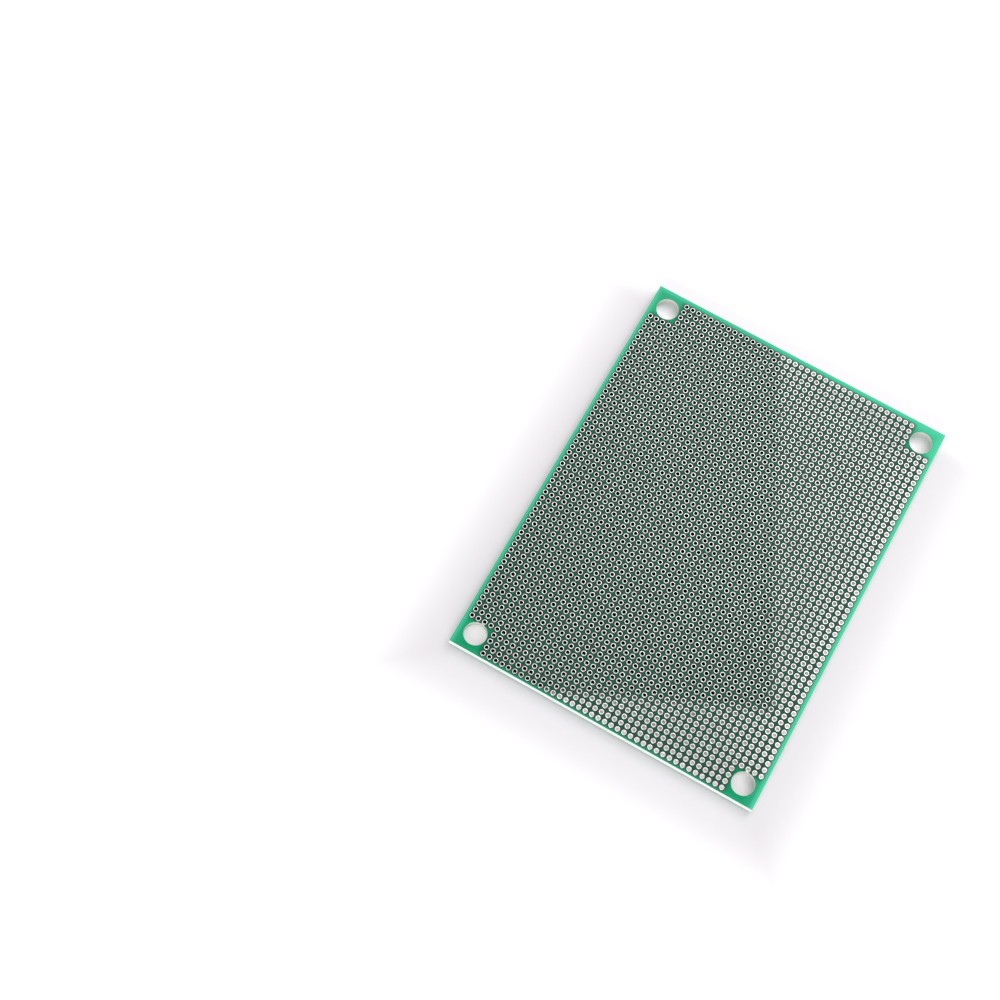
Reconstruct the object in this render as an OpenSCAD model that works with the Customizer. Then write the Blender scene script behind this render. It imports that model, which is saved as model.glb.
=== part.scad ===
// Bare prototype circuit board: a thin rectangular glass-laminate board with a close square grid
// of plated through holes and a mounting hole in each corner.
//
// Origin: centre of the laminate's underside. +X runs along a row of holes, +Y along a column,
// from the front edge to the rear edge, and +Z points up out of the component side.
// All sizes are in millimetres.

/* [Board] */
// Width of the board, along a row of holes
board_w = 59.6; // [40:0.1:80]
// Length of the board, along a column of holes
board_l = 79.8; // [50:0.1:100]
// Thickness of the coated laminate
board_t = 1.6; // [0.8:0.1:3.2]

/* [Hole grid] */
// Distance between neighbouring holes, both ways
pitch = 1.27; // [1.27:0.01:2.54]
// Least distance from the board's edge to the centre of a hole
edge_to_hole = 0.85; // [0.7:0.05:2]
// How far the grid's centre lies in front of the board's centre
grid_shift = 0.27; // [0:0.01:0.4]

/* [Plated holes] */
// Diameter drilled in the laminate, before plating
drill_d = 0.6; // [0.5:0.01:0.9]
// Thickness of the copper and tin on the wall of a hole
plating_t = 0.025; // [0.02:0.005:0.05]
// Diameter of the pad round a hole, on both faces
pad_d = 1.05; // [0.95:0.01:1.15]
// Height of a pad at the rim of its hole, from where it tapers to its edge
pad_h = 0.06; // [0.04:0.01:0.1]

/* [Mounting holes] */
// Diameter of a mounting hole, which has no plating
mount_d = 4.2; // [2.5:0.1:5]
// Distance from a side edge to the centre of a mounting hole
mount_side = 3.4; // [3:0.1:6]
// Mean distance from the front and rear edges to the centre of a mounting hole
mount_end = 3.5; // [3:0.1:6]
// How far the mounting holes lie in front of their mean place
mount_shift = 0.18; // [0:0.02:0.3]
// Least gap between a pad and the square round a mounting hole
mount_gap = 0.02; // [0.01:0.01:1]

/* [Hidden] */
$fn = 32;
// The laminate is one sheet and its plated holes are one set. Both are held as bands of whole rows,
// numbered from the front edge, and neighbouring bands of laminate meet midway between two rows.
laminate_bands = 4;
plated_bands = 12;

mask_green = [0.16, 0.44, 0.35];
tinned = [0.82, 0.84, 0.83];

// Whole pitches that fit between the margins give the count of holes in a row and in a column.
columns = floor((board_w - 2 * edge_to_hole) / pitch) + 1;
rows = floor((board_l - 2 * edge_to_hole) / pitch) + 1;
bore_d = drill_d - 2 * plating_t;

// Place of the mounting holes, and half the side of the square that each keeps free of pads.
mount_x = board_w / 2 - mount_side;
mount_y = board_l / 2 - mount_end;
mount_keep = (mount_d + pad_d) / 2 + mount_gap;

// Place of a column and of a row in the board's frame.
function column_x(i) = (i - (columns - 1) / 2) * pitch;
function row_y(j) = (j - (rows - 1) / 2) * pitch - grid_shift;

// Number of the first row of a band, where the rows are shared out among so many bands.
function first_row(band, bands) = floor((band - 1) * rows / bands);

// True where a hole would come too near a mounting hole.
function near_mount(x, y) =
    abs(abs(x) - mount_x) < mount_keep && abs(abs(y + mount_shift) - mount_y) < mount_keep;

// Puts its child at each hole of the grid in one of so many bands.
module at_holes(band, bands) {
    for (j = [first_row(band, bands) : first_row(band + 1, bands) - 1], i = [0 : columns - 1]) {
        if (!near_mount(column_x(i), row_y(j))) {
            translate([column_x(i), row_y(j)]) children();
        }
    }
}

// A band of the coated laminate, with its part of the grid drilled through it.
module laminate(band) {
    front = band == 1 ? -board_l / 2 : row_y(first_row(band, laminate_bands) - 1 / 2);
    rear = band == laminate_bands ? board_l / 2 : row_y(first_row(band + 1, laminate_bands) - 1 / 2);
    color(mask_green)
        linear_extrude(board_t)
            difference() {
                translate([-board_w / 2, front]) square([board_w, rear - front]);
                at_holes(band, laminate_bands) circle(d = drill_d);
                for (x = [-mount_x, mount_x], y = [-mount_y, mount_y]) {
                    translate([x, y - mount_shift]) circle(d = mount_d);
                }
            }
}

// One plated hole: a tube through the board with a pad on each face, thickest at the rim.
module plated_hole() {
    rotate_extrude()
        polygon([
            [bore_d / 2, -pad_h],
            [pad_d / 2, 0],
            [drill_d / 2, 0],
            [drill_d / 2, board_t],
            [pad_d / 2, board_t],
            [bore_d / 2, board_t + pad_h],
        ]);
}

// The plated holes of a band.
module plated_holes(band) {
    color(tinned) at_holes(band, plated_bands) plated_hole();
}

for (band = [1 : laminate_bands]) {
    laminate(band);
}
for (band = [1 : plated_bands]) {
    plated_holes(band);
}
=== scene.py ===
"""Looks of a bare prototype circuit board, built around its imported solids.

The solids give the drilled laminate and its plated holes at their real size. Here the laminate is
dressed as a pale glass-epoxy sheet, each face gets a coat of green solder mask with an opening round
every pad, and domed, tinned plated holes stand in for the plain ones. All lengths are in metres.
"""

import logging
import math
from dataclasses import dataclass
from enum import Enum

import bpy
import numpy as np
from mathutils import Matrix, Vector


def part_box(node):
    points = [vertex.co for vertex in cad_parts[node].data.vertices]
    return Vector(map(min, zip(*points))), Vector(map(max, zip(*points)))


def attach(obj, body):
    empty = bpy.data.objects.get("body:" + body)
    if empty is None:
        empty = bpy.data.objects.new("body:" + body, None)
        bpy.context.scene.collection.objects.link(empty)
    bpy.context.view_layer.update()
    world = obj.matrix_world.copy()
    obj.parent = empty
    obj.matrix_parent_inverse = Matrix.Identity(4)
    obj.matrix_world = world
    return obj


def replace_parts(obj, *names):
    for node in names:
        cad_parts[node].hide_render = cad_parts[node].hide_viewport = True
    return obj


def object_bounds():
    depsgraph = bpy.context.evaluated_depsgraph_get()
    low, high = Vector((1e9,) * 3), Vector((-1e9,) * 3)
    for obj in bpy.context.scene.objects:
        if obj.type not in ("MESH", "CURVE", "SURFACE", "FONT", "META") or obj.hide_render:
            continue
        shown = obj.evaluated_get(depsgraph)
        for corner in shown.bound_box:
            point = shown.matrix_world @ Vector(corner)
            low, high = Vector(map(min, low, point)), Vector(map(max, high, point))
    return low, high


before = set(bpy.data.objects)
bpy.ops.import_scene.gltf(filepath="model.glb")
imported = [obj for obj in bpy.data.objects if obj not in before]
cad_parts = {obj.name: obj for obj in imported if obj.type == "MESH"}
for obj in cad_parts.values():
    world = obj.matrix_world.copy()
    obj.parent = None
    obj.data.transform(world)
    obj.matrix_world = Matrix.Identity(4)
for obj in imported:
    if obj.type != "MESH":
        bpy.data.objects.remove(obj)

MM = 0.001
LAMINATE_NODES = [f"laminate_{band}" for band in range(1, 5)]
HOLE_NODES = [f"plated_holes_{band}" for band in range(1, 13)]
HOLE_PIECES = 4
TIN_MARKS = ("tin_tone", "tin_bore")  # what each point of the tin carries
WELD = 1e-8
WAVE_PERIOD = 0.314  # of a Wave texture's bands at scale 1
CAD_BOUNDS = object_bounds()
LOG = logging.getLogger("circuit_board")

Socket = bpy.types.NodeSocket
Colour = tuple[float, float, float]
Span = tuple[float, float]


class Face(Enum):
    """The two faces of the board, by the name of the coat on each and the way it faces."""

    COMPONENT = ("solder_mask_component_side", 1)
    SOLDER = ("solder_mask_solder_side", -1)


def linear(*shades: int) -> Colour:
    """The linear colour of display shades from 0 to 255: ((c + 0.055) / 1.055) ** 2.4 above the toe."""
    shares = (shade / 255 for shade in shades)
    return tuple(c / 12.92 if c <= 0.04045 else ((c + 0.055) / 1.055) ** 2.4 for c in shares)


# ----- the board's layout


@dataclass(frozen=True)
class Board:
    """Outline and hole pattern of the board, the outline taken from its solids."""

    half_width: float
    front: float
    rear: float
    top: float
    pitch: float = 1.27 * MM
    edge_to_hole: float = 0.85 * MM
    grid_shift: float = 0.27 * MM
    drill_radius: float = 0.3 * MM
    bore_radius: float = 0.275 * MM
    pad_radius: float = 0.525 * MM
    mount_radius: float = 2.1 * MM
    mount_side: float = 3.4 * MM
    mount_end: float = 3.5 * MM
    mount_shift: float = 0.18 * MM
    mount_gap: float = 0.02 * MM

    @classmethod
    def from_frame(cls) -> "Board":
        """Reads the outline from the laminate's solids.

        Returns:
            The board, with its other sizes as usual.
        """
        corners = [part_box(node) for node in LAMINATE_NODES]
        low = np.min([c[0] for c in corners], axis=0)
        high = np.max([c[1] for c in corners], axis=0)
        half_width, rear, top = (float(value) for value in high)
        return cls(half_width=half_width, front=float(low[1]), rear=rear, top=top)

    @property
    def columns(self) -> int:
        """Holes in a full row: the whole pitches between the side margins, and one."""
        return math.floor(2 * (self.half_width - self.edge_to_hole) / self.pitch) + 1

    @property
    def rows(self) -> int:
        """Holes in a full column: the whole pitches between the end margins, and one."""
        return math.floor((self.rear - self.front - 2 * self.edge_to_hole) / self.pitch) + 1

    @property
    def mount_x(self) -> float:
        """Distance of the mounting holes from the board's long centre line."""
        return self.half_width - self.mount_side

    @property
    def mount_y(self) -> float:
        """Distance of the mounting holes from their own cross centre line."""
        return (self.rear - self.front) / 2 - self.mount_end

    def column_x(self) -> np.ndarray:
        """Place of each column across the board."""
        return (np.arange(self.columns) - (self.columns - 1) / 2) * self.pitch

    def row_y(self) -> np.ndarray:
        """Place of each row along the board."""
        return (np.arange(self.rows) - (self.rows - 1) / 2) * self.pitch - self.grid_shift

    def drilled(self) -> np.ndarray:
        """Tells which places of the grid hold a plated hole.

        Returns:
            A table of rows by columns, false within the square that each mounting hole keeps free.
        """
        x, y = np.meshgrid(np.abs(self.column_x()), np.abs(self.row_y() + self.mount_shift))
        keep = self.mount_radius + self.pad_radius + self.mount_gap
        return np.maximum(np.abs(x - self.mount_x), np.abs(y - self.mount_y)) >= keep

    def left_out(self) -> tuple[int, int]:
        """Columns and rows that a mounting hole takes from a corner of the grid."""
        drilled = self.drilled()
        return int((~drilled[0]).sum() // 2), int((~drilled[:, 0]).sum() // 2)

    def centres(self, band: int = 0, bands: int = 1) -> np.ndarray:
        """Lists the centres of the plated holes in one of several bands of rows.

        Band b of n starts with the row whose number is the whole part of b * rows / n.

        Args:
            band: The band wanted, from 0 at the front edge.
            bands: How many bands the rows are shared out among.

        Returns:
            An array of holes by 2, row after row from the front.
        """
        first, end = band * self.rows // bands, (band + 1) * self.rows // bands
        wanted = self.drilled()[first:end]
        x, y = np.meshgrid(self.column_x(), self.row_y()[first:end])
        return np.stack([x[wanted], y[wanted]], axis=1)


# ----- meshes from arrays


def ring_quads(rings: int, points: int, closed: bool = False, rows: bool = False) -> np.ndarray:
    """Joins successive rings or rows of points by quads.

    Point k of ring r has the number r * points + k. Quad (r, k) takes the points (r, k), (r, k + 1),
    (r + 1, k + 1) and (r + 1, k), where k + 1 goes round, and so does r + 1 where the rings close.

    Args:
        rings: How many rings there are.
        points: How many points each has.
        closed: Whether the last ring joins the first.
        rows: Whether they are rows, the last point of which doesn't join the first.

    Returns:
        An array of quads by 4.
    """
    firsts = np.arange(rings if closed else rings - 1), np.arange(points - 1 if rows else points)
    r, k = np.meshgrid(*firsts, indexing="ij")
    r2, k2 = (r + 1) % rings, (k + 1) % points
    corners = [r * points + k, r * points + k2, r2 * points + k2, r2 * points + k]
    return np.stack(corners, axis=-1).reshape(-1, 4)


def repeated(quads: np.ndarray, points: int, copies: int) -> np.ndarray:
    """Repeats the quads of one copy for many, each copy's points numbered after the last one's."""
    return (quads[None] + (np.arange(copies) * points)[:, None, None]).reshape(-1, 4)


@dataclass
class Patch:
    """A surface made of points and quads, with a mark for each quad that is shaded smooth."""

    points: np.ndarray
    quads: np.ndarray
    smooth: np.ndarray

    def facing(self, way: int, thickness: float) -> "Patch":
        """Turns an upper surface into the one for either face of the board.

        Args:
            way: 1 to keep it, -1 to mirror it to the underside.
            thickness: The height of the upper face; z becomes thickness - z on the underside.

        Returns:
            The patch for that face, its quads still facing out.
        """
        if way > 0:
            return self
        mirrored = self.points * (1, 1, -1) + (0, 0, thickness)
        return Patch(mirrored, self.quads[:, ::-1], self.smooth)


def joined(patches: list[Patch]) -> Patch:
    """Puts patches into one and welds points that coincide.

    Points are equal where their coordinates round to the same whole number of WELD.

    Args:
        patches: The patches.

    Returns:
        One patch with all their quads, in the same order.
    """
    starts = np.cumsum([0] + [len(p.points) for p in patches[:-1]])
    points = np.concatenate([p.points for p in patches])
    quads = np.concatenate([p.quads + s for p, s in zip(patches, starts)])
    keys = np.round(points / WELD).astype(np.int64)
    _, first, back = np.unique(keys, axis=0, return_index=True, return_inverse=True)
    return Patch(points[first], back.reshape(-1)[quads], np.concatenate([p.smooth for p in patches]))


def build_piece(name: str, patch: Patch, material: bpy.types.Material) -> bpy.types.Object:
    """Makes an object of a patch, dresses it and sets it on the board's body.

    Args:
        name: The object's name.
        patch: Its surface, already in place.
        material: Its finish.

    Returns:
        The new object, at the origin, unturned and unscaled.
    """
    mesh = bpy.data.meshes.new(name)
    mesh.vertices.add(len(patch.points))
    mesh.vertices.foreach_set("co", patch.points.astype(np.float32).ravel())
    mesh.loops.add(patch.quads.size)
    mesh.loops.foreach_set("vertex_index", patch.quads.astype(np.int32).ravel())
    mesh.polygons.add(len(patch.quads))
    mesh.polygons.foreach_set("loop_start", np.arange(len(patch.quads), dtype=np.int32) * 4)
    mesh.polygons.foreach_set("use_smooth", patch.smooth)
    mesh.update(calc_edges=True)
    mesh.materials.append(material)
    piece = bpy.data.objects.new(name, mesh)
    bpy.context.scene.collection.objects.link(piece)
    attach(piece, "root")
    LOG.info("%s: %d faces", name, len(patch.quads))
    return piece


# ----- finishes


@dataclass(frozen=True)
class Grain:
    """A soft noise: the size of its features, its finer layers, and what divides the size each way."""

    size: float
    detail: float = 2.0
    squeeze: tuple[float, float, float] = (1.0, 1.0, 1.0)


class Graph:
    """The node tree of one material or sky, with short ways to add nodes and link them.

    Its vector holds the object coordinates of the shaded point, and x, y and z are their parts.
    """

    def __init__(self, owner: bpy.types.ID, shader: str = "Principled BSDF") -> None:
        """Starts the tree with its main shader.

        Args:
            owner: The new material or world.
            shader: The shader's name in it.
        """
        owner.use_nodes = True
        self.owner, self.tree = owner, owner.node_tree
        self.shader = self.tree.nodes[shader]
        self.vector = self.add("ShaderNodeTexCoord").outputs["Object"]
        self.x, self.y, self.z = self.add("ShaderNodeSeparateXYZ", {0: self.vector}).outputs

    def add(self, kind: str, inputs: dict | None = None, **settings: object) -> bpy.types.Node:
        """Adds a node.

        Args:
            kind: Its type.
            inputs: What goes into its inputs, each a socket to link or a value to set.
            settings: Its own settings, by name.

        Returns:
            The node.
        """
        node = self.tree.nodes.new(kind)
        for key, value in settings.items():
            setattr(node, key, value)
        for key, value in (inputs or {}).items():
            self.feed(node.inputs[key], value)
        return node

    def feed(self, socket: Socket, value: object) -> None:
        """Links a socket into an input, or sets the input to a plain value.

        Args:
            socket: The input.
            value: What goes into it.
        """
        if isinstance(value, bpy.types.NodeSocket):
            self.tree.links.new(value, socket)
        else:
            socket.default_value = value

    def math(self, operation: str, *values: object) -> Socket:
        """Does sums in Math nodes.

        Args:
            operation: What they do.
            values: Sockets or numbers. From the third on, each is taken with the result so far.

        Returns:
            The result.
        """
        if len(values) > 2:
            values = self.math(operation, *values[:-1]), values[-1]
        return self.add("ShaderNodeMath", dict(enumerate(values)), operation=operation).outputs[0]

    def length(self, *parts: Socket) -> Socket:
        """The length of a vector with those two parts, the root of the sum of their squares."""
        return self.math("SQRT", self.math("ADD", *(self.math("POWER", part, 2.0) for part in parts)))

    def gaps(self, board: Board) -> tuple[Socket, ...]:
        """Measures how far inside the board's outline the place lies.

        Args:
            board: The board.

        Returns:
            The distances from its left, right, front and rear edges, each below 0 outside that edge.
        """
        return (
            self.math("ADD", board.half_width, self.x),
            self.math("SUBTRACT", board.half_width, self.x),
            self.math("SUBTRACT", self.y, board.front),
            self.math("SUBTRACT", board.rear, self.y),
        )

    def ramp(self, value: Socket, start: float, end: float) -> Socket:
        """A smooth step of a value, 0 at start and 1 at end."""
        inputs = {"Value": value, "From Min": start, "From Max": end}
        return self.add("ShaderNodeMapRange", inputs, interpolation_type="SMOOTHSTEP").outputs[0]

    def spread(self, value: Socket, low: object, high: object) -> Socket:
        """A value from 0 to 1 carried to the stretch from low to high, each a number or a socket."""
        inputs = {"Value": value, "To Min": low, "To Max": high}
        return self.add("ShaderNodeMapRange", inputs).outputs[0]

    def noise(self, grain: Grain) -> Socket:
        """Lays a soft noise over the object.

        Args:
            grain: What it is like.

        Returns:
            The noise, from about 0.3 to 0.7.
        """
        squeezed = self.add("ShaderNodeMapping", {"Vector": self.vector, "Scale": grain.squeeze})
        inputs = {"Vector": squeezed.outputs[0], "Scale": 1 / grain.size, "Detail": grain.detail}
        return self.add("ShaderNodeTexNoise", inputs).outputs["Fac"]

    def blend(self, factor: object, first: object, second: object, mode: str = "MIX") -> Socket:
        """Mixes two colours.

        Args:
            factor: The share of the second, a socket or a number.
            first: A socket or a plain colour.
            second: A socket or a plain colour.
            mode: The way of blending them.

        Returns:
            The mixed colour.
        """
        node = self.add("ShaderNodeMix", data_type="RGBA", blend_type=mode)
        self.feed(node.inputs["Factor"], factor)
        for key, colour in (("A", first), ("B", second)):
            socket = next(s for s in node.inputs if s.name == key and s.type == "RGBA")
            self.feed(socket, colour if isinstance(colour, bpy.types.NodeSocket) else (*colour, 1))
        return next(s for s in node.outputs if s.type == "RGBA")

    def bump(self, height: Socket, depth: float) -> None:
        """Gives the shader a relief of the height, depth metres from 0 to 1."""
        inputs = {"Height": height, "Distance": depth, "Strength": 1.0}
        self.feed(self.shader.inputs["Normal"], self.add("ShaderNodeBump", inputs).outputs[0])

    def shade(self, **values: object) -> bpy.types.ID:
        """Feeds the shader.

        Args:
            values: What goes into its inputs, by their names with _ for a blank.

        Returns:
            The material or world.
        """
        for key, value in values.items():
            self.feed(self.shader.inputs[key.replace("_", " ")], value)
        return self.owner


@dataclass(frozen=True)
class MaskFinish:
    """Green solder mask: painted shade deep between the pads, painted light bright mint round them."""

    board: Board
    # painted shade: deep green where the pads keep light from coming up through the board
    shaded_between_pads: Colour = linear(33, 92, 73)
    # painted shade and light: the margin deeper at the front, lighter at the rear
    margin_front_in_shade: Colour = linear(4, 162, 110)
    margin_rear_in_light: Colour = linear(40, 172, 124)
    # painted light: mint glow where light comes up through the laminate at the cut edges
    rim: Colour = linear(84, 226, 178)
    cloud: Grain = Grain(9.0 * MM)
    cloud_tone: Span = (0.9, 1.1)
    strand: float = 0.55 * MM
    strand_waver: float = 0.4
    weave_tone: Span = (-0.04, 0.04)
    field_inset: float = 0.5 * MM
    field_reach: float = 1.5 * MM
    glow_reach: float = 4.2 * MM
    glow_fall: float = 1.4
    glow_strength: Span = (0.4, 0.95)
    rim_reach: float = 1.45 * MM
    rim_full: float = 0.1 * MM
    left_share: float = 0.8
    front_share: float = 0.2
    patches: Grain = Grain(2.0 * MM, 4.0)
    roughness: Span = (0.22, 0.38)
    relief: Grain = Grain(0.5 * MM)
    relief_depth: float = 0.004 * MM
    woven_share: float = 0.5
    specular: float = 0.07

    def material(self) -> bpy.types.Material:
        """Builds the mask's material.

        Returns:
            The material: deep green among the pads as painted shade, the margin's green outside them,
            lighter towards the rear as painted light, and the rim's colour over both as a painted glow
            where light gets in, with a faint cloth and clouds over all.
        """
        graph = Graph(bpy.data.materials.new("solder_mask"))
        rearward = graph.ramp(graph.y, self.board.front, self.board.rear)
        # painted light: the margin lighter towards the rear, where more light comes up through the
        # board
        margin = graph.blend(rearward, self.margin_front_in_shade, self.margin_rear_in_light)
        open_share = self.open_share(graph)
        # painted shade: deep green among the pads, which keep light from coming up through the board
        colour = graph.blend(open_share, self.shaded_between_pads, margin)
        rim_share = self.rim_share(graph, rearward, open_share)
        colour = graph.blend(rim_share, colour, self.rim)

        weave = self.weave(graph)
        clouds = graph.spread(graph.noise(self.cloud), *self.cloud_tone)
        tone = graph.math("ADD", clouds, graph.spread(weave, *self.weave_tone))
        shade = graph.add("ShaderNodeCombineColor", {0: tone, 1: tone, 2: tone}).outputs[0]
        colour = graph.blend(1.0, colour, shade, "MULTIPLY")

        woven = graph.math("MULTIPLY", weave, self.woven_share)
        graph.bump(graph.math("ADD", graph.noise(self.relief), woven), self.relief_depth)
        rough = graph.spread(graph.noise(self.patches), *self.roughness)
        return graph.shade(Base_Color=colour, Roughness=rough, Specular_IOR_Level=self.specular)

    def open_share(self, graph: Graph) -> Socket:
        """Tells the margins from the field of pads.

        The field is a cross: two rectangles, each short of the grid one way by what the corners leave
        out. The share grows over field_reach with the distance from the nearer of them.

        Args:
            graph: The material's nodes.

        Returns:
            0 among the pads and 1 well away from them.
        """
        board = self.board
        out_x, out_y = board.left_out()
        reach_x = (board.columns - 1) / 2 * board.pitch + board.pad_radius - self.field_inset
        reach_y = (board.rows - 1) / 2 * board.pitch + board.pad_radius - self.field_inset
        wide = self.beyond(graph, reach_x, reach_y - out_y * board.pitch)
        tall = self.beyond(graph, reach_x - out_x * board.pitch, reach_y)
        return graph.ramp(graph.math("MINIMUM", wide, tall), 0.0, self.field_reach)

    def beyond(self, graph: Graph, half_x: float, half_y: float) -> Socket:
        """Finds how far outside a rectangle the place lies.

        Args:
            graph: The material's nodes.
            half_x: Half the rectangle's size across the board.
            half_y: The same along it, from the middle of the grid of holes.

        Returns:
            The length of (|x| - half_x, |y| - half_y), where each of the two is at least 0.
        """
        from_middle = graph.math("ADD", graph.y, self.board.grid_shift)
        over = [
            graph.math("MAXIMUM", graph.math("SUBTRACT", graph.math("ABSOLUTE", way), half), 0.0)
            for way, half in ((graph.x, half_x), (from_middle, half_y))
        ]
        return graph.length(*over)

    def rim_share(self, graph: Graph, rearward: Socket, open_share: Socket) -> Socket:
        """Finds how strongly the painted light from the cut edges shows.

        The light that reaches further in grows towards the rear right corner, from the first value of
        glow_strength to the second, and the light at the very edge from left_share to 1 at the right.

        Args:
            graph: The material's nodes.
            rearward: 0 at the front edge and 1 at the rear one.
            open_share: 0 among the pads and 1 well away from them.

        Returns:
            The share of the rim's colour.
        """
        left, right, front, rear = graph.gaps(self.board)
        rightward = graph.ramp(graph.x, -self.board.half_width, self.board.half_width)
        lit = graph.spread(graph.math("MULTIPLY", rightward, rearward), *self.glow_strength)
        open_glow = graph.math("MULTIPLY", open_share, lit)
        side_share = graph.spread(rightward, self.left_share, 1.0)
        sides = self.glow(graph, graph.math("MINIMUM", left, right, rear), open_glow, side_share)
        ends = self.glow(graph, front, open_glow, self.front_share)
        return graph.math("MAXIMUM", sides, ends)

    def glow(self, graph: Graph, gap: Socket, open_glow: Socket, share: object) -> Socket:
        """The painted light that enters at a cut edge.

        It reaches rim_reach in everywhere, and glow_reach where no pads shade it; the stronger counts.

        Args:
            graph: The material's nodes.
            gap: Distance from the edge.
            open_glow: The strength of the light that reaches further in, 0 among the pads.
            share: The strength at the edge, a socket or a number.

        Returns:
            The share of the rim's colour.
        """
        near = graph.ramp(gap, self.rim_reach, self.rim_full)
        faded = graph.math("POWER", graph.ramp(gap, self.glow_reach, 0.0), self.glow_fall)
        far = graph.math("MULTIPLY", faded, open_glow)
        return graph.math("MULTIPLY", graph.math("MAXIMUM", near, far), share)

    def weave(self, graph: Graph) -> Socket:
        """Shows the glass cloth under the coat.

        Args:
            graph: The material's nodes.

        Returns:
            The product of one wave across the board and one along it, each a strand long.
        """
        inputs = {
            "Vector": graph.vector,
            "Scale": WAVE_PERIOD / self.strand,
            "Distortion": self.strand_waver,
            "Detail": 1.0,
        }
        waves = [graph.add("ShaderNodeTexWave", inputs, bands_direction=way) for way in ("X", "Y")]
        return graph.math("MULTIPLY", *(wave.outputs["Fac"] for wave in waves))


@dataclass(frozen=True)
class LaminateFinish:
    """Glass-epoxy: cut edges nearly white with fine plies, faces painted dark olive as shade where pads
    crowd them.
    """

    board: Board
    cut_edge: Colour = linear(242, 255, 251)
    ply_line: Colour = linear(206, 226, 217)
    seeped_mask: Colour = linear(120, 190, 165)
    bored_wall: Colour = linear(226, 218, 212)
    # painted shade: the bare faces in the narrow gaps round the pads
    shaded_bare_face: Colour = linear(20, 26, 22)
    shaded_bare_mottle: Colour = linear(36, 46, 38)
    plies: Grain = Grain(0.11 * MM, 3.0, (0.05, 0.05, 1.0))
    ply_band: Span = (0.42, 0.62)
    seep_depth: float = 0.16 * MM
    seep: Grain = Grain(0.6 * MM)
    seep_share: Span = (0.1, 0.7)
    scratches: Grain = Grain(0.7 * MM, 4.0, (1.0, 1.0, 6.0))
    scratch_share: Span = (0.0, 0.6)
    mottle: Grain = Grain(0.4 * MM)
    edge_depth: float = 0.3 * MM
    mount_surround: float = 0.15 * MM
    relief: Grain = Grain(0.08 * MM, 3.0, (0.3, 0.3, 1.0))
    relief_depth: float = 0.01 * MM
    roughness: float = 0.55

    def material(self) -> bpy.types.Material:
        """Builds the laminate's material, told apart by which way the surface faces and where it is.

        Returns:
            The material: plies on the cut edges, scratches on the walls of holes, and on the faces
            mottled dark olive as painted shade, but pale at the edges and round the mounting holes.
        """
        graph = Graph(bpy.data.materials.new("glass_laminate"))
        normal = graph.add("ShaderNodeTexCoord").outputs["Normal"]
        facing = graph.add("ShaderNodeSeparateXYZ", {0: normal}).outputs[2]
        level = graph.math("GREATER_THAN", graph.math("ABSOLUTE", facing), 0.5)
        nearest = graph.math("MINIMUM", *graph.gaps(self.board))
        inside = graph.math("GREATER_THAN", nearest, self.edge_depth)

        scratched = graph.spread(graph.noise(self.scratches), *self.scratch_share)
        bored = graph.blend(scratched, self.bored_wall, self.ply_line)
        upright = graph.blend(inside, self.cut_edges(graph), bored)

        outside = graph.math("SUBTRACT", 1.0, inside)
        # painted shade on the bare faces, left pale where light reaches them at the edges and round the
        # mounting holes
        pale = graph.math("MAXIMUM", self.near_mount(graph), outside)
        bare = graph.blend(graph.noise(self.mottle), self.shaded_bare_face, self.shaded_bare_mottle)
        colour = graph.blend(level, upright, graph.blend(pale, bare, self.cut_edge))
        graph.bump(graph.noise(self.relief), self.relief_depth)
        return graph.shade(Base_Color=colour, Roughness=self.roughness)

    def cut_edges(self, graph: Graph) -> Socket:
        """Colours the cut edges.

        Args:
            graph: The material's nodes.

        Returns:
            Fine plies, with ragged green where the mask has seeped over at the top and the bottom.
        """
        half = self.board.top / 2
        plies = graph.ramp(graph.noise(self.plies), *self.ply_band)
        edge = graph.blend(plies, self.cut_edge, self.ply_line)
        to_middle = graph.math("ABSOLUTE", graph.math("SUBTRACT", graph.z, half))
        seep = graph.ramp(to_middle, half - self.seep_depth, half)
        ragged = graph.spread(graph.noise(self.seep), *self.seep_share)
        return graph.blend(graph.math("MULTIPLY", seep, ragged), edge, self.seeped_mask)

    def near_mount(self, graph: Graph) -> Socket:
        """Tells whether the place is at the rim of a mounting hole.

        Args:
            graph: The material's nodes.

        Returns:
            1 within mount_surround of a mounting hole, and 0 elsewhere.
        """
        board = self.board
        own_y = graph.math("ABSOLUTE", graph.math("ADD", graph.y, board.mount_shift))
        to_x = graph.math("SUBTRACT", graph.math("ABSOLUTE", graph.x), board.mount_x)
        to_y = graph.math("SUBTRACT", own_y, board.mount_y)
        reach = board.mount_radius + self.mount_surround
        return graph.math("LESS_THAN", graph.length(to_x, to_y), reach)


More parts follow.
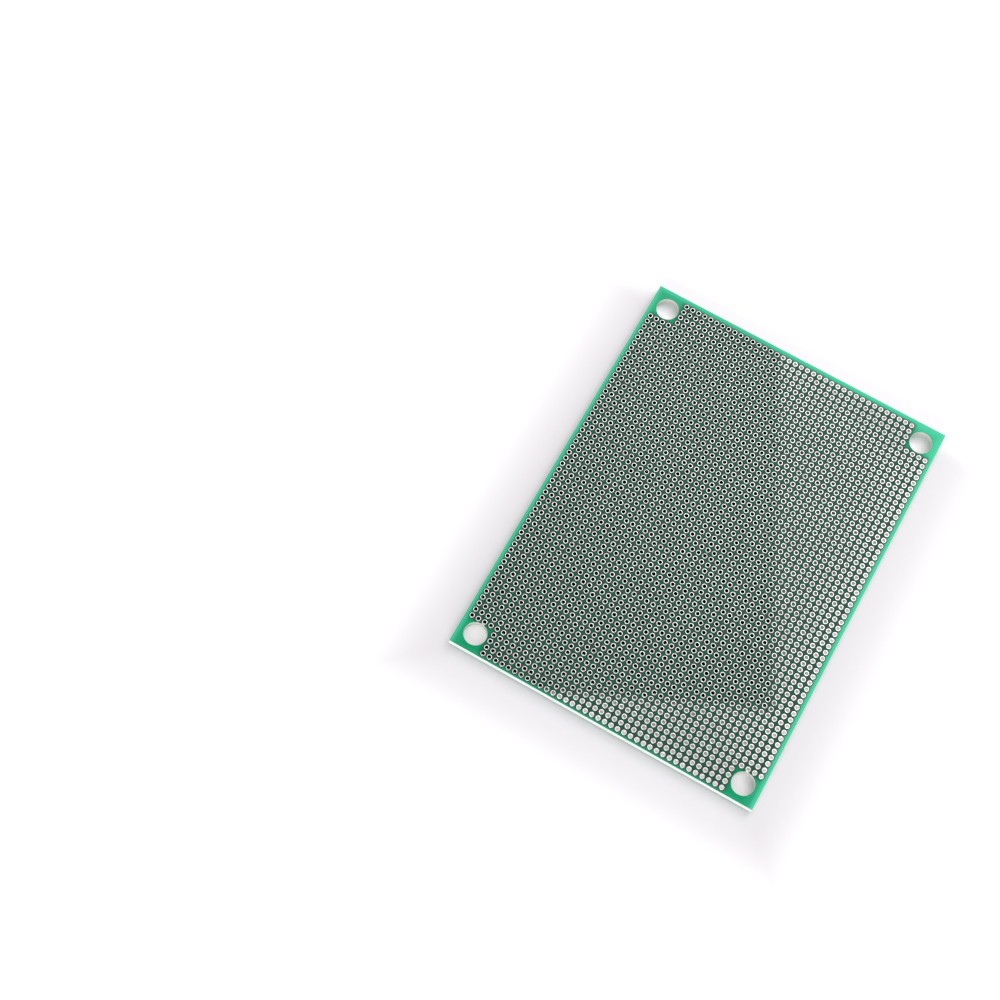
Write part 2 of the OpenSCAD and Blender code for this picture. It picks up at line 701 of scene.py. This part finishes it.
@dataclass(frozen=True)
class BoreLight:
    """Painted light in the bores: bright near the right, front and rear edges, where light gets in.

    At a distance d from one of those edges, light brings back 1 / (1 + d / reach) ** fall of what a
    bore lacks, and each edge works on what the others leave. It brings none, leaving painted shade, in
    the square corner where a sheet would lie under the board; no sheet is built. The corner starts at
    the given place and is turned by the given angle.
    """

    board: Board
    reach: float = 6.0 * MM
    front_reach: float = 4.0 * MM
    fall: float = 1.8
    corner: tuple[float, float] = (23.0 * MM, -21.5 * MM)
    turn: float = 25.5
    blur: Span = (0.7 * MM, 3.0 * MM)

    def share(self, graph: Graph) -> Socket:
        """Finds how bright a bore is.

        Args:
            graph: The material's nodes.

        Returns:
            1 where light from below reaches a bore fully, down to 0 where none gets in: painted light
            and shade.
        """
        _, right, front, rear = graph.gaps(self.board)
        lacking = 1.0
        for gap, reach in ((right, self.reach), (rear, self.reach), (front, self.front_reach)):
            depth = graph.math("MAXIMUM", graph.math("DIVIDE", gap, reach), 0.0)
            brought = graph.math("POWER", graph.math("ADD", depth, 1.0), -self.fall)
            lacking = graph.math("MULTIPLY", lacking, graph.math("SUBTRACT", 1.0, brought))
        off_sheet = graph.ramp(self.off_sheet(graph), *self.blur)
        return graph.math("MULTIPLY", graph.math("SUBTRACT", 1.0, lacking), off_sheet)

    def off_sheet(self, graph: Graph) -> Socket:
        """Finds how far off the sheet the place lies.

        With u and v the place's offsets from the corner and t the turn, that is the larger of
        u cos t + v sin t and u sin t - v cos t.

        Args:
            graph: The material's nodes.

        Returns:
            The distance from the nearer side's line, below 0 on the sheet.
        """
        u, v = (graph.math("SUBTRACT", *pair) for pair in zip((graph.x, graph.y), self.corner))
        cos, sin = math.cos(math.radians(self.turn)), math.sin(math.radians(self.turn))
        right = graph.math("ADD", graph.math("MULTIPLY", u, cos), graph.math("MULTIPLY", v, sin))
        front = graph.math("SUBTRACT", graph.math("MULTIPLY", u, sin), graph.math("MULTIPLY", v, cos))
        return graph.math("MAXIMUM", right, front)


@dataclass(frozen=True)
class TinFinish:
    """Tinned copper: bright and a little uneven on the pads, painted shade down in the bore where no
    light gets in.
    """

    board: Board
    bright: Colour = (0.845, 0.89, 0.86)
    dull: Colour = (0.54, 0.565, 0.55)
    bore: Colour = (0.94, 0.88, 0.89)
    # painted shade: the bore near black where no light comes up from below
    painted_bore_shade: Colour = (0.006, 0.005, 0.005)
    roughness: float = 0.34
    bore_roughness: float = 0.12
    grain: Grain = Grain(0.16 * MM, 3.0)
    wear_band: Span = (0.45, 0.75)
    wear_share: float = 0.5
    relief_depth: float = 0.006 * MM
    mark_band: Span = (0.28, 0.50)
    bore_light_shift: float = 0.2
    specular: float = 0.5
    dull_reach: float = 16.0 * MM
    dull_slant: float = 0.2
    side_reach: float = 4.5 * MM
    side_dull: float = 0.5

    def dulled_near_edges(self, graph: Graph) -> Socket:
        """Finds how dull the pads are: fully at the front and rear edges, and by half at the right one.

        At the first two it falls off over dull_reach, with the distance from the nearer of them and
        dull_slant times that from the right edge. At the right edge it falls off over side_reach.

        Args:
            graph: The material's nodes.

        Returns:
            0 where the tin is bright and 1 where it is dull.
        """
        _, right, front, rear = graph.gaps(self.board)
        slanted = graph.math("MULTIPLY", right, self.dull_slant)
        to_end = graph.math("ADD", graph.math("MINIMUM", front, rear), slanted)
        at_side = graph.math("MULTIPLY", graph.ramp(right, self.side_reach, 0.0), self.side_dull)
        return graph.math("MAXIMUM", graph.ramp(to_end, self.dull_reach, 0.0), at_side)

    def material(self) -> bpy.types.Material:
        """Builds the tin's material: the bore's finish where a piece's own mark is high.

        That is down the bore and on its lip, and in a thin line round the foot of each pad. Where no
        light gets in, that finish is a near-black painted shade, so the line is a painted shadow at the
        pad's foot. The line and the lip are narrower where the bores are lit.

        Returns:
            The material.
        """
        graph = Graph(bpy.data.materials.new("tinned_copper"))
        own_tone, mark = (
            graph.add("ShaderNodeAttribute", attribute_name=name).outputs["Fac"] for name in TIN_MARKS
        )
        # painted light from below in the bores, strongest near the right, front and rear edges
        bore_light = BoreLight(self.board).share(graph)
        shifted = graph.math("SUBTRACT", mark, graph.math("MULTIPLY", bore_light, self.bore_light_shift))
        inside = graph.ramp(shifted, *self.mark_band)

        grain = graph.noise(self.grain)
        wear = graph.math("MULTIPLY", graph.ramp(grain, *self.wear_band), self.wear_share)
        # pads duller towards the front, rear and right edges
        tone = graph.math("MAXIMUM", wear, own_tone, self.dulled_near_edges(graph))
        # painted light and shade in the bores: bright near the edges, near black elsewhere
        bored = graph.blend(bore_light, self.painted_bore_shade, self.bore)
        colour = graph.blend(inside, graph.blend(tone, self.bright, self.dull), bored)
        # painted shade: the shaded bore loses its metal shine
        shaded_in_bore = graph.math("MULTIPLY", inside, graph.math("SUBTRACT", 1.0, bore_light))
        metal = graph.math("SUBTRACT", 1.0, shaded_in_bore)
        on_pad = graph.math("SUBTRACT", 1.0, inside)
        graph.bump(graph.math("MULTIPLY", grain, on_pad), self.relief_depth)
        return graph.shade(
            Base_Color=colour,
            Metallic=metal,
            Roughness=graph.spread(inside, self.roughness, self.bore_roughness),
            Specular_IOR_Level=graph.math("MULTIPLY", metal, self.specular),
        )


@dataclass(frozen=True)
class FloorFinish:
    """A plain pale sheet, white away from the board, with painted shadow and painted light near and
    under it.
    """

    board: Board
    paper: Colour = (0.81, 0.775, 0.815)
    light_paper: Colour = (0.8181, 0.78275, 0.82315)
    cloud: Grain = Grain(0.2, 1.0)
    roughness: float = 0.9
    lift_front: float = 0.145
    lift_rear: float = 0.36
    lift_below: float = 0.46
    lift_afar: float = 0.70
    afar: float = 24.0 * MM
    behind: Span = (4.0 * MM, -1.0 * MM)
    lit: tuple[float, ...] = (8.0 * MM, 24.0 * MM, 24.0 * MM, 24.0 * MM)
    depth_full: float = 0.1
    depth_fade: Span = (1.0, 0.25)

    def material(self) -> bpy.types.Material:
        """Builds the floor's material: matt paper, seen only from above.

        It has a little painted light of its own, for what looks at it. The sky's light passes it, to
        reach the board's underside and the bores.

        Returns:
            The material.
        """
        graph = Graph(bpy.data.materials.new("pale_floor"))
        colour = graph.blend(graph.noise(self.cloud), self.paper, self.light_paper)
        path = graph.add("ShaderNodeLightPath").outputs
        seen = graph.math("MAXIMUM", path["Is Camera Ray"], path["Is Transmission Ray"])
        under = graph.add("ShaderNodeNewGeometry").outputs["Backfacing"]
        return graph.shade(
            Base_Color=colour,
            Roughness=self.roughness,
            Emission_Color=(1, 1, 1, 1),
            Emission_Strength=self.lift(graph),
            Alpha=graph.math("MULTIPLY", seen, graph.math("SUBTRACT", 1.0, under)),
        )

    def lift(self, graph: Graph) -> Socket:
        """Finds the painted light of its own that the floor has.

        Beside the board it grows from lift_front, or lift_rear behind it, to lift_afar: less of it near
        the board, and least at the front, is a painted shadow. Under the board it is lift_below, a
        painted light near the edges, and fades to nothing deep inside the outline, a painted shade. The
        depth there is the least of the distances from the left, right, front and rear edges, each
        divided by its value of lit.

        Args:
            graph: The material's nodes.

        Returns:
            The strength.
        """
        gaps = graph.gaps(self.board)
        away = graph.ramp(graph.math("MINIMUM", *gaps), 0.0, -self.afar)
        # painted shadow: less light of its own near the board, least at the front
        near = graph.spread(graph.ramp(gaps[-1], *self.behind), self.lift_front, self.lift_rear)
        beside = graph.spread(away, near, self.lift_afar)

        lit = (graph.math("DIVIDE", gap, reach) for gap, reach in zip(gaps, self.lit))
        depth = graph.ramp(graph.math("MINIMUM", *lit), 0.0, 1.0)
        # painted light under the board's edges, fading to painted shade deep under it
        lift = graph.spread(graph.ramp(depth, 0.0, self.depth_full), beside, self.lift_below)
        return graph.math("MULTIPLY", lift, graph.ramp(depth, *self.depth_fade))


# ----- the board's pieces


@dataclass(frozen=True)
class MaskCoat:
    """The coat of solder mask on one face, with a sloped lip at each opening and at the board's edge.

    It is built as the upper face's coat and mirrored for the underside.
    """

    board: Board
    thickness: float = 0.02 * MM
    opening_radius: float = 0.61 * MM
    lip: float = 0.015 * MM
    edge_bare: float = 0.02 * MM
    mount_bare: float = 0.01 * MM
    opening_points: int = 16
    corner_side_points: int = 32

    @property
    def cell_lines(self) -> np.ndarray:
        """Places of the points on a cell's side, half a pitch times the tangent of each angle."""
        angles = np.linspace(-0.25, 0.25, self.opening_points // 4 + 1) * math.pi
        return np.tan(angles) * self.board.pitch / 2

    def openings(self) -> Patch:
        """A square cell of coat round each pad, with a round opening.

        At angle t the cell's outline lies at half a pitch divided by the larger of |cos t| and |sin t|,
        and the lip's two rings are circles.

        Returns:
            All the cells.
        """
        angles = np.arange(self.opening_points) * 2 * math.pi / self.opening_points
        unit = np.stack([np.cos(angles), np.sin(angles)], axis=1)
        outline = unit * (self.board.pitch / 2 / np.abs(unit).max(axis=1))[:, None]
        rings = [outline, unit * (self.opening_radius + self.lip), unit * self.opening_radius]
        return self.collars(self.board.centres(), rings)

    def collars(self, centres: np.ndarray, rings: list[np.ndarray]) -> Patch:
        """Makes the coat round openings: flat from a first ring to a second, then a lip to a third.

        Args:
            centres: The middle of each opening.
            rings: The points of the three rings, from the middle.

        Returns:
            The coat, smooth on its lips and never inside a mounting hole.
        """
        count, copies = len(rings[0]), len(centres)
        flat = (centres[:, None] + np.concatenate(rings)).reshape(-1, 2)
        heights = np.repeat([self.thickness, self.thickness, 0.0], count) + self.board.top
        points = np.column_stack([self.clear_of_mounts(flat), np.tile(heights, copies)])
        quads = repeated(ring_quads(3, count), 3 * count, copies)
        return Patch(points, quads, np.tile(np.repeat([False, True], count), copies))

    def clear_of_mounts(self, points: np.ndarray) -> np.ndarray:
        """Moves what lies inside a mounting hole straight out from its middle, to its rim.

        Args:
            points: Places across and along the board, one a row.

        Returns:
            The places, none of them inside a mounting hole.
        """
        board = self.board
        side = np.where(points < 0, -1.0, 1.0)
        middles = side * (board.mount_x, board.mount_y) - (0.0, board.mount_shift)
        away = points - middles
        reach = np.linalg.norm(away, axis=1, keepdims=True)
        return middles + away * np.maximum(1.0, (board.mount_radius + self.mount_bare) / reach)

    def strip(self, xs: np.ndarray, ys: np.ndarray) -> Patch:
        """Makes a flat stretch of coat.

        Args:
            xs: Its lines across the board.
            ys: Its lines along it.

        Returns:
            The stretch, with a point where each two lines cross.
        """
        x, y = np.meshgrid(xs, ys)
        z = np.full(x.size, self.board.top + self.thickness)
        points = np.column_stack([x.ravel(), y.ravel(), z])
        quads = ring_quads(len(ys), len(xs), rows=True)
        return Patch(points, quads, np.zeros(len(quads), bool))

    def limits(self) -> list[tuple[np.ndarray, ...]]:
        """Finds where the parts of the coat meet, across the board and along it.

        Returns:
            For each of the two ways, the ends of the coat's flat top, those of the field of holes, and
            the lines between the corners.
        """
        board, back, half = self.board, self.edge_bare + self.lip, self.board.pitch / 2
        outline = (-board.half_width, board.half_width), (board.front, board.rear)
        found = []
        for ends, places, skip in zip(outline, (board.column_x(), board.row_y()), board.left_out()):
            field = places[[0, -1]] + (-half, half)
            inner = places[skip:-skip, None] + self.cell_lines[None, :-1]
            lines = np.append(inner.ravel(), field[1] - skip * board.pitch)
            found.append((np.array(ends) + (back, -back), field, lines))
        return found

    def margins(self) -> list[Patch]:
        """The four strips without openings, between the corners.

        Returns:
            The strips at the front, the rear, the left and the right.
        """
        (coat_x, field_x, lines_x), (coat_y, field_y, lines_y) = self.limits()
        return [
            self.strip(lines_x, np.array([coat_y[0], field_y[0]])),
            self.strip(lines_x, np.array([field_y[1], coat_y[1]])),
            self.strip(np.array([coat_x[0], field_x[0]]), lines_y),
            self.strip(np.array([field_x[1], coat_x[1]]), lines_y),
        ]

    def corner(self, right: int, rear: int) -> Patch:
        """The coat of one corner, round its mounting hole.

        Args:
            right: 1 for a right corner, 0 for a left one.
            rear: 1 for a rear corner, 0 for a front one.

        Returns:
            Rings from the corner's rectangular outline to circles about the mounting hole, each point
            of a circle at the angle of its point on the outline.
        """
        board, n = self.board, self.corner_side_points
        (coat_x, _, lines_x), (coat_y, _, lines_y) = self.limits()
        xs, ys = np.sort([coat_x[right], lines_x[-right]]), np.sort([coat_y[rear], lines_y[-rear]])
        share = np.arange(n) / n
        loop_x = np.concatenate([share, np.ones(n), 1 - share, np.zeros(n)])
        loop_y = np.roll(loop_x, n)
        outline = np.column_stack([xs[0] + loop_x * np.ptp(xs), ys[0] + loop_y * np.ptp(ys)])
        side, end = 2 * right - 1, 2 * rear - 1
        centre = np.array([side * board.mount_x, end * board.mount_y - board.mount_shift])
        away = outline - centre
        reach = np.linalg.norm(away, axis=1)[:, None]
        bare = board.mount_radius + self.mount_bare
        lip = np.clip(reach, bare, bare + self.lip)
        return self.collars(centre[None], [away, away / reach * lip, away / reach * bare])

    def edge_lip(self) -> Patch:
        """The slope from the board's bare edge up to the coat's flat top, all the way round.

        Returns:
            Two rectangles, the foot and the top, joined by four slopes.
        """
        board = self.board
        coat_x, coat_y = (limit[0] for limit in self.limits())
        turn_x, turn_y = np.array([0, 1, 1, 0]), np.array([0, 0, 1, 1])
        top = np.column_stack([coat_x[turn_x], coat_y[turn_y], np.full(4, board.top + self.thickness)])
        outwards = np.column_stack([2 * turn_x - 1, 2 * turn_y - 1]) * self.lip
        foot = np.column_stack([top[:, :2] + outwards, np.full(4, board.top)])
        return Patch(np.concatenate([foot, top]), ring_quads(2, 4), np.zeros(4, bool))

    def build(self, face: Face, material: bpy.types.Material) -> bpy.types.Object:
        """Makes the coat of one face and dresses it.

        Args:
            face: The face.
            material: The mask's finish.

        Returns:
            The coat.
        """
        name, way = face.value
        corners = [self.corner(right, rear) for right in (0, 1) for rear in (0, 1)]
        upper = joined([self.openings(), *self.margins(), *corners, self.edge_lip()])
        return build_piece(name, upper.facing(way, self.board.top), material)


@dataclass(frozen=True)
class PlatedHoles:
    """Tinned plated holes: a tube through the laminate with a domed pad on each face."""

    board: Board
    crown_height: float = 0.05 * MM
    crown_radius: float = 0.42 * MM
    rim_height: float = 0.03 * MM
    height_spread: float = 0.15
    crown_spread: float = 0.04
    foot_mark: float = 0.85
    tone_shape: tuple[float, float] = (1.4, 8.0)
    points: int = 12
    seed: int = 27

    def profile(self, count: int, draw: np.random.Generator) -> tuple[np.ndarray, np.ndarray]:
        """Radius and height of the eight rings of each hole, from the upper pad's foot round to it.

        Each pad's crown has its own height and radius, by an even draw about the usual ones.

        Args:
            count: How many holes.
            draw: The source of the draws.

        Returns:
            Two arrays of count by 8.
        """
        board = self.board
        tall = 1 + self.height_spread * draw.uniform(-1, 1, (count, 2))
        wide = self.crown_radius * (1 + self.crown_spread * draw.uniform(-1, 1, (count, 2)))
        crown, rim = self.crown_height * tall, self.rim_height * tall
        pad, bore, drill, top = board.pad_radius, board.bore_radius, board.drill_radius, board.top
        radius = pad, wide[:, 0], bore, bore, wide[:, 1], pad, drill, drill
        height = top, top + crown[:, 0], top + rim[:, 0], -rim[:, 1], -crown[:, 1], 0.0, 0.0, top
        return tuple(np.stack(np.broadcast_arrays(*rings), axis=1) for rings in (radius, height))

    def surface(self, band: int) -> tuple[Patch, np.ndarray, np.ndarray]:
        """The plated holes of a band of rows: each profile turned about its own axis.

        A point at angle t is the hole's centre plus (r cos t, r sin t), at the profile's height.

        Args:
            band: The band, from 0 at the front edge.

        Returns:
            The closed surfaces, a tone from 0 to 1 for each point, the same over a hole, and a mark for
            each point: 0 on the pads' crowns, foot_mark at their feet and 1 elsewhere.
        """
        centres = self.board.centres(band, HOLE_PIECES)
        draw = np.random.default_rng([self.seed, band])
        radius, height = self.profile(len(centres), draw)
        angles = (np.arange(self.points) + 0.5) * 2 * math.pi / self.points
        x = centres[:, 0, None, None] + radius[:, :, None] * np.cos(angles)
        y = centres[:, 1, None, None] + radius[:, :, None] * np.sin(angles)
        z = np.broadcast_to(height[:, :, None], x.shape)
        points = np.stack([x, y, z], axis=-1).reshape(-1, 3)
        holes, per_hole = len(centres), radius.shape[1] * self.points
        domed = np.repeat([True, True, False, True, True, False, False, False], self.points)
        mark = np.repeat([self.foot_mark, 0.0, 1.0, 1.0, 0.0, self.foot_mark, 1.0, 1.0], self.points)
        quads = repeated(ring_quads(radius.shape[1], self.points, closed=True), per_hole, holes)
        tone = np.repeat(draw.beta(*self.tone_shape, holes), per_hole)
        return Patch(points, quads, np.tile(domed, holes)), tone, np.tile(mark, holes)

    def build(self, band: int, material: bpy.types.Material) -> bpy.types.Object:
        """Makes the plated holes of a band, in place of the plain solids of the same rows.

        Args:
            band: The band, from 0 at the front edge.
            material: The tin's finish.

        Returns:
            The piece, with its tones and marks as attributes.
        """
        patch, tone, mark = self.surface(band)
        piece = build_piece(f"tinned_holes_{band + 1}", patch, material)
        for name, values in zip(TIN_MARKS, (tone, mark)):
            layer = piece.data.attributes.new(name, "FLOAT", "POINT")
            layer.data.foreach_set("value", values.astype(np.float32))
        share = len(HOLE_NODES) // HOLE_PIECES
        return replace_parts(piece, *HOLE_NODES[band * share : (band + 1) * share])


# ----- the studio


@dataclass(frozen=True)
class Lamp:
    """A square soft light that faces a point above the board."""

    name: str
    place: tuple[float, float, float]
    size: float
    power: float

    def build(self, target: Vector) -> None:
        """Makes the lamp and turns it to the target.

        Args:
            target: The point that it faces.
        """
        data = bpy.data.lights.new(self.name, "AREA")
        data.shape = "SQUARE"
        data.size, data.energy = self.size, self.power
        lamp = bpy.data.objects.new(self.name, data)
        lamp.location = self.place
        lamp.rotation_euler = (target - lamp.location).to_track_quat("-Z", "Y").to_euler()
        bpy.context.scene.collection.objects.link(lamp)


@dataclass(frozen=True)
class Studio:
    """Floor, world, lamps and camera."""

    board: Board
    floor_half: float = 2.0
    floor_drop: float = 0.5 * MM
    sky_strength: float = 0.36
    lamps: tuple[Lamp, ...] = (
        Lamp("key_light", (0.05, 0.21, 0.33), 0.28, 0.70),
        Lamp("fill_light", (0.15, -1.0, 0.25), 0.8, 9.3),
    )
    eye: tuple[float, float, float] = (5.94 * MM, -118.37 * MM, 313.68 * MM)
    heading: float = -21.13
    tilt: float = 70.06
    roll: float = 8.79
    lens: float = 66.61
    sensor: float = 36.0
    clip: Span = (0.01, 20.0)

    def floor(self) -> None:
        """Lays the floor, a square below the solids."""
        r, level = self.floor_half, float(CAD_BOUNDS[0].z) - self.floor_drop
        points = [(-r, -r, level), (r, -r, level), (r, r, level), (-r, r, level)]
        mesh = bpy.data.meshes.new("floor")
        mesh.from_pydata(points, [], [(0, 1, 2, 3)])
        mesh.materials.append(FloorFinish(self.board).material())
        floor = bpy.data.objects.new("floor", mesh)
        bpy.context.scene.collection.objects.link(floor)

    def world(self) -> None:
        """Makes an even white sky: full white to what looks at it, and softer as a light."""
        world = bpy.data.worlds.new("studio_sky")
        bpy.context.scene.world = world
        graph = Graph(world, "Background")
        path = graph.add("ShaderNodeLightPath").outputs
        kinds = ("Is Camera Ray", "Is Glossy Ray", "Is Transmission Ray")
        seen = graph.math("MAXIMUM", *(path[kind] for kind in kinds))
        graph.shade(Color=(1, 1, 1, 1), Strength=graph.spread(seen, self.sky_strength, 1.0))

    def camera(self) -> None:
        """Sets the camera at its eye point.

        The view runs at the heading, counted from +Y towards +X, and the tilt below the horizon. The
        camera's right side is then turned up by the roll.
        """
        heading, tilt, roll = (math.radians(a) for a in (self.heading, self.tilt, self.roll))
        ahead = Vector((
            math.sin(heading) * math.cos(tilt),
            math.cos(heading) * math.cos(tilt),
            -math.sin(tilt),
        ))
        level_right = Vector((math.cos(heading), -math.sin(heading), 0))
        level_up = level_right.cross(ahead)
        right = level_right * math.cos(roll) + level_up * math.sin(roll)
        up = right.cross(ahead)
        turn = Matrix((right, up, -ahead)).transposed().to_4x4()
        data = bpy.data.cameras.new("camera")
        data.lens, data.sensor_width = self.lens, self.sensor
        data.clip_start, data.clip_end = self.clip
        camera = bpy.data.objects.new("camera", data)
        camera.matrix_world = Matrix.Translation(self.eye) @ turn
        bpy.context.scene.collection.objects.link(camera)
        bpy.context.scene.camera = camera

    def build(self) -> None:
        """Sets up the studio."""
        bpy.context.scene.view_settings.view_transform = "Standard"
        self.floor()
        self.world()
        for lamp in self.lamps:
            lamp.build(Vector((0, 0, self.board.top)))
        self.camera()


def dress_laminate(material: bpy.types.Material) -> None:
    """Gives the laminate's solids their finish.

    Args:
        material: The finish.
    """
    for node in LAMINATE_NODES:
        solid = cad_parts[node]
        solid.data.materials.clear()
        solid.data.materials.append(material)
        LOG.info("%s: dressed", node)


def main() -> None:
    """Builds the dressed board and its studio."""
    logging.basicConfig(level=logging.INFO, format="%(message)s")
    board = Board.from_frame()
    LOG.info("board: %d columns, %d rows, %d holes", board.columns, board.rows, len(board.centres()))
    dress_laminate(LaminateFinish(board).material())
    mask = MaskFinish(board).material()
    for face in Face:
        MaskCoat(board).build(face, mask)
    tin = TinFinish(board).material()
    for band in range(HOLE_PIECES):
        PlatedHoles(board).build(band, tin)
    Studio(board).build()


if __name__ == "__main__":
    main()
